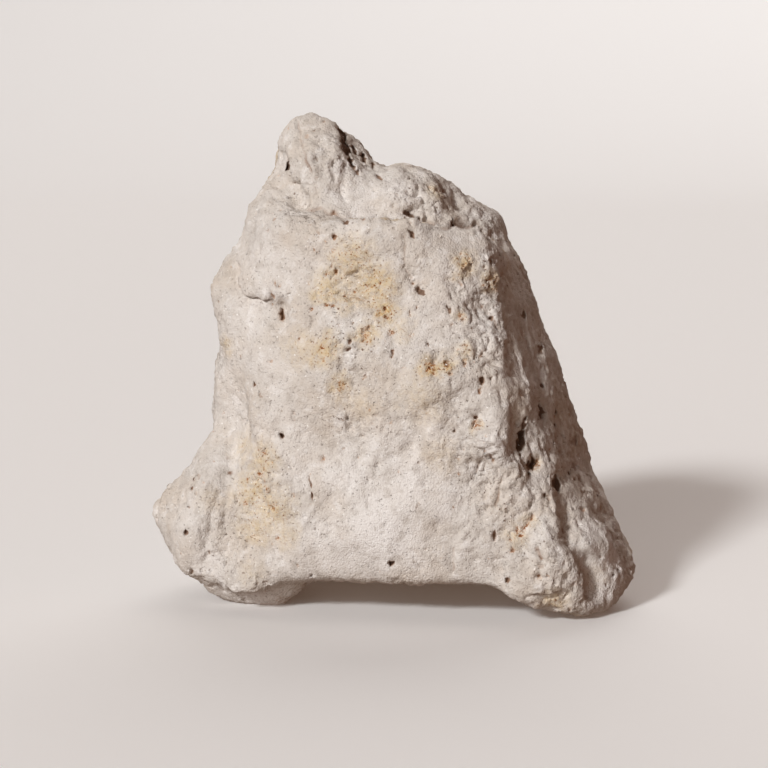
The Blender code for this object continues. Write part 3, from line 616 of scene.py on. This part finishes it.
    (616, 570, 0.7, 0.9, 0, 0.7, 0.2), (606, 584.7, 0.7, 0.8, 0, 0.7, 0.3),
    (600, 557, 0.6, 0.8, 0, 0.6, 0.1), (502, 510, 0.4, 0.5, 0, 0.5, 0.2),
    (506, 242, 0.5, 0.5, 0, 0.7, 0.0), (515, 255.5, 0.5, 0.5, 0, 0.7, 0.0),
    (491, 262, 0.8, 1.8, -20, 0.8, 0.4), (499, 252, 0.7, 1.8, -30, 0.8, 0.2),
]

# How the pits are shaped: how steep the bored ones are, how ragged their rims are in mm and by
# their width, how steep the walls are, how far rust spreads past a rim, and how far it fills a pit.
PIT_MARGIN = 2.2
STEEP = 1.2
RAGGED_WAVE = 0.8
LEAST_RAGGED = 0.1
RAGGED = 0.22
JAGGED = 0.35
PIT_WALL = 3.2
RUST_SPREAD = 1.5
RUST_FILL = 0.4

ragged = ripples(RAGGED_WAVE, 51.0, 57.0, 66.0)
rust = np.zeros(len(base))
bored = np.zeros(len(base))
lens_right = np.array(rightward)
lens_up = np.array(upward)
lens_ahead = np.array(ahead)


def pit_wall(share):
    """A pit's depth by its distance from the middle: a flat floor and a steep wall."""
    return np.clip(1 - np.maximum(share, 0)**PIT_WALL, 0, 1)


for x, y, width, length, lean, depth, rusty in PITS:
    reach = max(width, length)
    middle = seen_at(x, y)
    picked = points_near([(x, y)], reach * PIT_MARGIN)
    away = base[picked] - np.array(middle)
    away = away + (LEAST_RAGGED + RAGGED * min(width, length)) * ragged[picked]
    side = away @ lens_right
    rise = away @ lens_up
    turn = math.radians(lean)
    across = side * math.cos(turn) - rise * math.sin(turn)
    lengthways = side * math.sin(turn) + rise * math.cos(turn)
    share = np.hypot(across / (width / 2), lengthways / (length / 2))
    share = np.hypot(share, (away @ lens_ahead) / (reach * STEEP)) + JAGGED * ragged[picked, 2]
    carved = pit_wall(share) * depth * (1 - RUST_FILL * rusty)
    bored[picked] = np.maximum(bored[picked], carved * faces_lens[picked])
    # The pit's colour darkens by its full depth, even where little of it is bored: painted shade.
    painted_shade[picked] = np.maximum(painted_shade[picked], carved)
    rust[picked] = np.maximum(rust[picked], rusty * np.clip(RUST_SPREAD - share, 0, 1))

# The scattered pits: how many, radius from and to in mm, depth as a share of the radius, and the
# share of them that the broad face keeps. Most are near the smallest, and few are rusty.
SCATTERED = [(240, 0.45, 1.15, 1.2, 0.0), (900, 0.24, 0.5, 1.1, 0.2), (2600, 0.13, 0.26, 1.1, 0.5)]
MOST_RUSTY = 0.9

# The clusters: how many, their reach in mm, their pits, and those pits' radii and depth. Where
# the face is turned well towards the lens, its pits are placed one by one, and it has none.
CLUSTERS = 70
CLUSTER_REACH = 2.6
CLUSTER_PITS = 16
CLUSTER_RADII = (0.16, 0.42)
CLUSTER_DEPTH = 1.2
WELL_TURNED = 0.9

# How far a scattered pit is drawn out, how ragged it is, and how far its rust spreads.
SMALL_MARGIN = 2
DRAWN_OUT = 0.5
SMALL_RAGGED = 0.4
SMALL_RUST_SPREAD = 1.6


def open_pit(centre, radius, depth, rusty):
    """A round pit, a little drawn out along the pull of the froth."""
    found = near.find_range(Vector(centre), radius * SMALL_MARGIN)
    picked = np.array([index for _, index, _ in found])
    if len(picked) == 0:
        return
    away = base[picked] - centre + SMALL_RAGGED * radius * ragged[picked]
    pulled = away @ PULL
    distance = np.sqrt(np.maximum((away**2).sum(1) - DRAWN_OUT * pulled**2, 0))
    share = distance / radius + JAGGED * ragged[picked, 2]
    carved = pit_wall(share) * depth
    hole[picked] = np.maximum(hole[picked], carved)
    # The pit's colour darkens by its depth: painted shade.
    painted_shade[picked] = np.maximum(painted_shade[picked], carved)
    rust[picked] = np.maximum(rust[picked], rusty * np.clip(SMALL_RUST_SPREAD - share, 0, 1))


for count, smallest, largest, deep, face_share in SCATTERED:
    for _ in range(count):
        pick = draw.integers(len(base))
        radius = smallest + (largest - smallest) * draw.random() ** 2
        skipped = draw.random()
        rusty = MOST_RUSTY * draw.random() ** 3
        if skipped < (1 - face_share) * faces_lens[pick]:
            continue
        open_pit(base[pick], radius, radius * deep, rusty)
for _ in range(CLUSTERS):
    heart = draw.integers(len(base))
    rusty = draw.random()
    spread = draw.normal(size=(CLUSTER_PITS, 3)) * CLUSTER_REACH / 2
    radii = draw.uniform(*CLUSTER_RADII, CLUSTER_PITS)
    if faces_lens[heart] > WELL_TURNED:
        continue
    for place, radius in zip(base[heart] + spread, radii):
        on_skin = base_tree.find_nearest(Vector(place))[0]
        open_pit(np.array(on_skin), radius, radius * CLUSTER_DEPTH, rusty)

# Where iron has washed into the pores: picture place, reach in mm, strength. The sides that lie
# turned away have broad stains of their own.
STAINS = [
    (352, 262, 6.5, 0.7), (376, 286, 5.5, 0.9), (330, 288, 5.0, 0.8), (346, 300, 4.0, 0.6),
    (385, 312, 3.4, 1.0), (366, 335, 3.2, 0.8), (324, 350, 4.2, 0.8), (340, 386, 3.0, 0.7),
    (400, 330, 3.6, 0.5), (431, 368, 3.0, 1.0), (447, 366, 2.2, 0.9), (465, 352, 2.6, 0.6),
    (463, 264, 3.4, 0.8), (492, 280, 3.2, 0.7), (437, 190, 2.6, 0.6), (262, 462, 5.5, 0.6),
    (255, 492, 6.0, 0.7), (274, 508, 5.5, 0.7), (257, 524, 5.5, 0.6), (246, 445, 4.6, 0.5),
    (284, 536, 4.0, 0.5), (538, 463, 1.8, 0.5), (515, 536, 3.2, 0.6), (529, 521, 2.4, 0.5),
    (226, 346, 3.0, 0.5), (477, 425, 1.8, 0.45), (461, 316, 2.0, 0.6), (360, 405, 5.0, 0.3),
    (420, 400, 7.0, 0.35), (300, 350, 5.0, 0.4), (440, 455, 5.0, 0.3), (210, 500, 4.0, 0.25),
    (600, 575, 4.0, 0.3), (250, 575, 4.0, 0.3), (555, 600, 4.0, 0.6),
]
STAIN_STIR = 1.2
STAIN_FADE = 1.15
BROAD_STAIN = 0.55
BROAD_STAIN_WAVE = 15.0
stain = BROAD_STAIN * smooth_step(ripple(base, BROAD_STAIN_WAVE, 47.0), 0.15, 0.6) * (1 - faces_lens)
for x, y, reach, strength in STAINS:
    away = away_from(x, y, STAIN_STIR * wander[:, [0, 1, 0]])
    stain = np.maximum(stain, strength * soft_edge(away, reach * STAIN_FADE))

# Where the skin is rubbed white: picture place, reach in mm, strength. It is so in faint
# patches all over. Those on the feet, under the left foot most of all, also paint light on
# faces that lie in shade: painted light.
RUBBED_AND_LIT_PLACES = [
    (385, 530, 11.0, 1.0), (330, 545, 9.0, 0.7), (412, 480, 8.0, 0.9), (300, 470, 6.0, 0.4),
    (345, 480, 8.0, 0.6), (440, 500, 7.0, 0.6), (500, 440, 5.0, 0.7), (395, 192, 6.0, 0.6),
    (355, 200, 6.0, 0.7), (345, 170, 4.0, 0.6), (610, 560, 7.0, 1.0), (605, 590, 6.0, 0.8),
    (590, 530, 5.0, 0.8), (262, 600, 8.0, 1.0), (340, 240, 7.0, 0.4), (260, 260, 8.0, 0.4),
    (430, 330, 6.0, 0.3), (340, 330, 3.0, 0.5), (342, 418, 3.0, 0.7), (190, 515, 8.0, 0.3),
    (210, 560, 6.0, 0.4), (240, 400, 8.0, 0.4), (390, 440, 6.0, 0.4), (560, 590, 6.0, 0.4),
    (445, 275, 5.0, 0.4),
]
RUBBED_STIR = 1.6
FAINTLY_RUBBED = 0.3
RUBBED_WAVE = 9.0
rubbed_and_painted_light = FAINTLY_RUBBED * smooth_step(ripple(base, RUBBED_WAVE, 93.0), 0.0, 0.5)
for x, y, reach, strength in RUBBED_AND_LIT_PLACES:
    away = away_from(x, y, RUBBED_STIR * wander[:, [1, 0, 1]])
    rubbed_and_painted_light = np.maximum(rubbed_and_painted_light, strength * soft_edge(away, reach))

# The pits of the broad face are bored straight in from it; everything else sinks along the skin.
# The floors of both are a little rough.
PIT_FLOOR_ROUGH = 0.16
PIT_FLOOR_DEPTH = 0.8
bored = np.maximum(bored - hole, 0)
height -= hole
height += PIT_FLOOR_ROUGH * np.clip(hole + bored, 0, PIT_FLOOR_DEPTH) * ragged[:, 0]
shaped = base + outward * height[:, None] + bored[:, None] * lens_ahead
shaped[:, 2] = np.maximum(shaped[:, 2], 0.0)


# ---------------------------------------------------------------------------------------------
# The stone's skin. Dry pumice is a pale warm grey and chalky, whiter where it is rubbed and
# ochre where iron has washed into its pores. Its holes and pores are painted dark, a painted
# shade; its crystals are painted glints; shaded faces of its feet are painted light. The marks
# above leave their colour with the mesh.
# ---------------------------------------------------------------------------------------------
# The depth in mm at which the painted shade of a hole is at its full strength.
FULL_SHADE_DEPTH = 1.2
marks = {"rust": rust, "stain": stain, "rough": rough, "painted_hollow_shade": painted_shade / FULL_SHADE_DEPTH, "rubbed_and_painted_light": rubbed_and_painted_light}


def write_places(mesh, points):
    """Moves the mesh's vertices to these places in millimetres."""
    mesh.vertices.foreach_set("co", (points * MM).astype(np.float32).ravel())
    mesh.update()


write_places(stone.data, shaped)
for name, values in marks.items():
    mark = stone.data.attributes.new(name, "FLOAT", "POINT")
    mark.data.foreach_set("value", np.clip(values, 0, 1).astype(np.float32))
thin = stone.modifiers.new("thinned", "DECIMATE")
thin.ratio = TRIANGLES / (len(stone.data.polygons) * 2)
thin.use_collapse_triangulate = True
make_permanent(stone)

# Nothing of the worn skin reaches past the rough form's bounding box, or below the ground that it stands on.
lowest_corner, highest_corner = [np.array(list(corner)) / MM for corner in CAD_BOX]
write_places(stone.data, np.clip(vertex_places(stone.data), lowest_corner, highest_corner))
stone.data.shade_smooth()
stone.name = stone.data.name = "pumice_skin"


def linear(colour):
    """A #rrggbb colour as the four linear values that Blender takes."""
    parts = [int(colour[k:k + 2], 16) / 255 for k in (1, 3, 5)]
    return [v / 12.92 if v <= 0.04045 else ((v + 0.055) / 1.055) ** 2.4 for v in parts] + [1.0]


CHALK = linear("#d7d1cb")
WARM_CHALK = linear("#d2c6b9")
GREY_CHALK = linear("#bbb2a9")
# Whiter chalk, also used as painted light on shaded faces of the feet.
WHITE_CHALK_AND_PAINTED_LIGHT = linear("#f0edeb")
# The near white of the crystals' glints: a painted highlight.
PAINTED_GLINT = linear("#faf8f5")
STAIN = linear("#d6bd8a")
OCHRE = linear("#b97d3c")
DEEP_OCHRE = linear("#7f451f")
# Painted shade: the brown of holes and pores, and the near black of deep holes.
PAINTED_PORE_SHADE = linear("#80593a")
DEEP_PAINTED_SHADE = linear("#4a3222")

# Sizes in mm: broad patches of warmer and greyer chalk, blotches in them, crumbs, dark specks,
# grains of glass, and the spacing of open pores and of crystals, which are painted near white as
# glints. Real grains and crystals are near a tenth of a millimetre, too fine to show from here,
# so both are drawn coarser.
PATCH = 9.0
BLOTCH = 2.4
CRUMB = 0.9
SPECK = 0.42
GRAIN = 0.34
PORE_SPACING = 0.8
CRYSTAL_SPACING = 0.7

# How far the grains and the pores are shaken out of their rows, and how deep the crumbs, grains
# and pores are: mm.
GRAIN_SHAKE = 0.12
PORE_SHAKE = 0.6
CRUMB_DEPTH = 0.34
GRAIN_DEPTH = 0.1
PORE_DEPTH = 0.2

# Worn volcanic glass: the froth scatters the light, so it is quite matt and hardly shines.
IOR = 1.5
SHINE = 0.25
MATT = 0.95

skin = bpy.data.materials.new("dry_pumice")
skin.use_nodes = True
skin.node_tree.nodes.clear()


def add_node(kind, *plugs, **named):
    """Adds a node to the skin: inputs in order or by their capital name, settings in small letters."""
    node = skin.node_tree.nodes.new("ShaderNode" + kind)
    for name, value in named.items():
        if name.islower():
            setattr(node, name, value)
    links = list(zip([socket for socket in node.inputs if socket.enabled], plugs))
    links += [(node.inputs[name.replace("_", " ")], named[name]) for name in named if not name.islower()]
    for socket, value in links:
        if isinstance(value, bpy.types.Node):
            value = [output for output in value.outputs if output.enabled][0]
        if isinstance(value, bpy.types.NodeSocket):
            skin.node_tree.links.new(value, socket)
        else:
            socket.default_value = value
    return node


place = add_node("TexCoord").outputs["Object"]
marked = {name: add_node("Attribute", attribute_name=name).outputs["Fac"] for name in marks}

# Cloudy noise at four sizes: size in mm, how much finer noise is in it, its strength, its shift.
CLOUDS = [(PATCH, 4, 0.6, 0.0), (BLOTCH, 5, 0.65, 0.4), (CRUMB, 4, 0.6, 0.7), (SPECK, 3, 0.6, 1.1)]
clouds = []
for size, finer_noise, strength, shift in CLOUDS:
    moved = add_node("VectorMath", place, (shift,) * 3, operation="ADD")
    clouds.append(add_node("TexNoise", Vector=moved, Scale=1 / (size * MM), Detail=finer_noise,
                           Roughness=strength))
patches, blotches, crumbs, specks = clouds

# Grains, open pores and crystals sit in the cells of three loose grids. A cell's own colour is
# its luck, and says how big its pore or its crystal is; most have none. The pores are painted
# dark, a painted shade, and the crystals near white, a painted glint.
shake = add_node("VectorMath", crumbs.outputs["Color"], (PORE_SHAKE * MM,) * 3, place,
                 operation="MULTIPLY_ADD")
stir = add_node("VectorMath", crumbs.outputs["Color"], (GRAIN_SHAKE * MM,) * 3, place,
                operation="MULTIPLY_ADD")
grains = add_node("TexVoronoi", Vector=stir, Scale=1 / (GRAIN * MM))
cells = add_node("TexVoronoi", Vector=shake, Scale=1 / (PORE_SPACING * MM))
sparks = add_node("TexVoronoi", Vector=shake, Scale=1 / (CRYSTAL_SPACING * MM))
luck = add_node("SeparateColor", cells.outputs["Color"])
spark_luck = add_node("SeparateColor", sparks.outputs["Color"]).outputs[1]
lucky = add_node("MapRange", luck, 0.4, 1.0)
few = add_node("Math", lucky, 2.0, operation="POWER")
rough_size = add_node("MapRange", marked["rough"], 0.1, 0.9, 0.12, 0.3)
pore_size = add_node("Math", few, rough_size, operation="MULTIPLY")
spark_size = add_node("MapRange", spark_luck, 0.6, 1.0, 0.0, 0.24)
within_pore = add_node("Math", pore_size, cells.outputs["Distance"], operation="SUBTRACT")
within_spark = add_node("Math", spark_size, sparks.outputs["Distance"], operation="SUBTRACT")
pores = add_node("MapRange", within_pore, 0.0, 0.07)
painted_glints = add_node("MapRange", within_spark, 0.0, 0.05)
pinholes = add_node("MapRange", specks, 0.65, 0.69)
holes = add_node("Math", pores, pinholes, operation="MAXIMUM")

# A stain tints the chalk between its crumbs and gathers in specks; rust does so round a pit; and
# the open pores and pinholes, painted dark as a painted shade of holes too small to carve and
# ochre where stained, show most where the skin is rough or stained.
between_crumbs = add_node("MapRange", crumbs, 0.36, 0.6, 0.4, 1.0)
tint = add_node("Math", marked["stain"], between_crumbs, operation="MULTIPLY")
stain_grain = add_node("MapRange", specks, 0.56, 0.62)
stain_specks = add_node("Math", marked["stain"], stain_grain, operation="MULTIPLY")
rust_grain = add_node("MapRange", specks, 0.44, 0.54, 0.2, 1.0)
rusted = add_node("Math", marked["rust"], rust_grain, operation="MULTIPLY")
rough_share = add_node("MapRange", marked["rough"], 0.1, 0.9, 0.12, 0.75)
pore_share = add_node("Math", rough_share, marked["stain"], operation="MAXIMUM")
pores_painted_dark = add_node("Math", holes, pore_share, operation="MULTIPLY")
pore_stain = add_node("MapRange", marked["stain"], 0.1, 0.6)
pore_shade_and_stain = add_node("Mix", pore_stain, PAINTED_PORE_SHADE, DEEP_OCHRE, data_type="RGBA")

# The colours, laid one over another: by what, from where to where in it, how strongly, colour.
LAYERS = [
    (patches, 0.42, 0.64, 0.7, WARM_CHALK),
    # Rubbed chalk, and painted light on shaded faces of the feet.
    (marked["rubbed_and_painted_light"], 0.0, 1.0, 1.0, WHITE_CHALK_AND_PAINTED_LIGHT),
    (blotches, 0.54, 0.66, 0.6, WHITE_CHALK_AND_PAINTED_LIGHT),
    (blotches, 0.47, 0.34, 0.5, GREY_CHALK),
    (crumbs, 0.42, 0.28, 0.55, GREY_CHALK),
    (tint, 0.05, 0.9, 0.8, STAIN),
    (stain_specks, 0.2, 0.8, 0.75, OCHRE),
    (rusted, 0.1, 0.9, 0.85, OCHRE),
    (rusted, 0.45, 0.9, 0.85, DEEP_OCHRE),
    # Open pores and pinholes: painted shade, ochre where stained.
    (pores_painted_dark, 0.0, 1.0, 1.0, pore_shade_and_stain),
    # Holes and cracks painted darker by their depth: painted shade.
    (marked["painted_hollow_shade"], 0.2, 0.6, 0.8, PAINTED_PORE_SHADE),
    (marked["painted_hollow_shade"], 0.6, 1.2, 0.8, DEEP_PAINTED_SHADE),
    # Crystals painted near white: painted glints.
    (painted_glints, 0.0, 1.0, 0.8, PAINTED_GLINT),
]
colour = CHALK
for where, low, high, strength, laid_on in LAYERS:
    share = add_node("MapRange", where, low, high, 0.0, strength)
    colour = add_node("Mix", share, colour, laid_on, data_type="RGBA")

# Crumbs stand up from the skin, most where it is rough, with grains on them and pores in them.
crumb_rise = add_node("MapRange", marked["rough"], 0.1, 0.9, 0.35, 1.0)
crumb_height = add_node("Math", crumbs, crumb_rise, operation="MULTIPLY")
crumb_bump = add_node("Bump", Strength=1.0, Distance=CRUMB_DEPTH * MM, Height=crumb_height)
grain_bump = add_node("Bump", Strength=1.0, Distance=GRAIN_DEPTH * MM, Height=grains, Normal=crumb_bump,
                      invert=True)
pore_bump = add_node("Bump", Strength=0.9, Distance=PORE_DEPTH * MM, Height=holes, Normal=grain_bump,
                     invert=True)
surface = add_node("BsdfPrincipled", Base_Color=colour, Roughness=MATT, IOR=IOR, Specular_IOR_Level=SHINE,
                   Normal=pore_bump)
add_node("OutputMaterial", Surface=surface)
stone.data.materials.clear()
stone.data.materials.append(skin)
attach(stone, "root")
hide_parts("pumice_stone")


# ---------------------------------------------------------------------------------------------
# The floor: one sheet of paper, flat under the stone and swept up in a round cove far behind
# it, so that no edge shows. Its radii are in metres.
# ---------------------------------------------------------------------------------------------
SWEEP_START = 1.6
SWEEP_RADIUS = 1.2
SWEEP_TURN = math.radians(80)
SWEEP_STEPS = 24
ROUND_STEPS = 96
PAPER_TOUCHING = 0.01

paper = bmesh.new()
turns = [SWEEP_TURN * k / SWEEP_STEPS for k in range(SWEEP_STEPS + 1)]
curve = [(SWEEP_START + SWEEP_RADIUS * math.sin(turn), SWEEP_RADIUS * (1 - math.cos(turn))) for turn in turns]
profile = [paper.verts.new((0, out, rise)) for out, rise in [(0, 0)] + curve]
for inner, outer in zip(profile[:-1], profile[1:]):
    paper.edges.new((inner, outer))
bmesh.ops.spin(paper, geom=paper.verts[:] + paper.edges[:], cent=(0, 0, 0), axis=(0, 0, 1),
               angle=math.tau, steps=ROUND_STEPS, use_merge=True)
bmesh.ops.remove_doubles(paper, verts=paper.verts, dist=PAPER_TOUCHING * MM)
bmesh.ops.recalc_face_normals(paper, faces=paper.faces)
sheet = bpy.data.meshes.new("paper_sweep")
paper.to_mesh(sheet)
paper.free()
sheet.shade_smooth()
floor = bpy.data.objects.new("paper_sweep", sheet)
bpy.context.scene.collection.objects.link(floor)

# Uncoated paper is nearly white and quite matt: it shows the stone's shadow and no reflection.
PAPER = linear("#f8f9fa")
PAPER_MATT = 0.9
paper_finish = bpy.data.materials.new("matt_paper")
paper_finish.use_nodes = True
paper_shader = paper_finish.node_tree.nodes["Principled BSDF"]
paper_shader.inputs["Base Color"].default_value = PAPER
paper_shader.inputs["Roughness"].default_value = PAPER_MATT
sheet.materials.append(paper_finish)

# What the paper would throw back at the stone is left to the lamps of the next section.
floor.visible_diffuse = False
floor.visible_shadow = False


# ---------------------------------------------------------------------------------------------
# The light: a lamp far up on the left with a broad low window beside it, and a broad lamp
# behind. A faint glow from below stands for what the paper throws back, and a weak warm lamp
# on the right for what the room does. The room itself is dim and warm.
# ---------------------------------------------------------------------------------------------
STONE_HEART = Vector((0, 0, 0.042))
BOUNCE_PLACE = Vector((0.55, -0.15, 0.12))
ROOM = linear("#ffc29c")
ROOM_LIGHT = 0.08


def far_lamp(name, rightwards, height, spread, energy, colour):
    """A lamp so far off that its rays are parallel. In degrees: how far to the right of the
    front it stands, how high, and how broad it looks."""
    lamp = bpy.data.lights.new(name, "SUN")
    lamp.energy = energy
    lamp.angle = math.radians(spread)
    lamp.color = linear(colour)[:3]
    holder = bpy.data.objects.new(name, lamp)
    turn, rise = math.radians(rightwards), math.radians(height)
    lamp_side = Vector((math.sin(turn) * math.cos(rise), -math.cos(turn) * math.cos(rise), math.sin(rise)))
    holder.rotation_mode = "QUATERNION"
    holder.rotation_quaternion = lamp_side.to_track_quat("Z", "Y")
    bpy.context.scene.collection.objects.link(holder)


far_lamp("key_lamp", rightwards=-38, height=30, spread=9, energy=2.2, colour="#fffdfb")
far_lamp("back_lamp", rightwards=172, height=32, spread=70, energy=1.5, colour="#fff8f2")
far_lamp("window", rightwards=-30, height=14, spread=50, energy=0.88, colour="#fffaf5")
far_lamp("paper_glow", rightwards=-10, height=-60, spread=70, energy=0.4, colour="#ffe6d4")

bounce = bpy.data.lights.new("bounce", "AREA")
bounce.size = 0.4
bounce.energy = 0.12
bounce.color = linear("#ff9a6c")[:3]
bounce_holder = bpy.data.objects.new("bounce", bounce)
bounce_holder.location = BOUNCE_PLACE
bounce_holder.rotation_mode = "QUATERNION"
bounce_holder.rotation_quaternion = (STONE_HEART - BOUNCE_PLACE).to_track_quat("-Z", "Y")
bpy.context.scene.collection.objects.link(bounce_holder)

room = bpy.data.worlds.new("dim_room")
room.use_nodes = True
room.node_tree.nodes["Background"].inputs[0].default_value = ROOM
room.node_tree.nodes["Background"].inputs[1].default_value = ROOM_LIGHT
bpy.context.scene.world = room
bpy.context.scene.view_settings.view_transform = "Standard"
